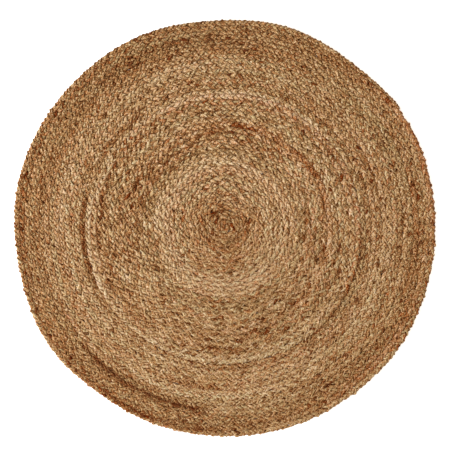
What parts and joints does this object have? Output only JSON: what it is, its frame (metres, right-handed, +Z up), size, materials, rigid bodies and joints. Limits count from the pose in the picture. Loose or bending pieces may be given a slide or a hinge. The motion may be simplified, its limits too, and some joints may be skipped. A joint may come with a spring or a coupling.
{
  "type": "round braided jute rug",
  "caption": "Flat round rug: one long braid of jute coiled from the middle and sewn turn to turn, with ribbed rows, an uneven rim and a thinned end.",
  "frame": {"origin": "middle of the rug's flat underside, at the middle of its bounding box", "axes": "+Z up out of the rug's ribbed top; +X to the right and +Y away as the rug lies in the picture"},
  "size_m": [1.203, 1.1896, 0.01],
  "materials": {
    "jute": "matt undyed jute, braided"
  },
  "bodies": {
    "root": {"rug": "jute"}
  },
  "joints": []
}
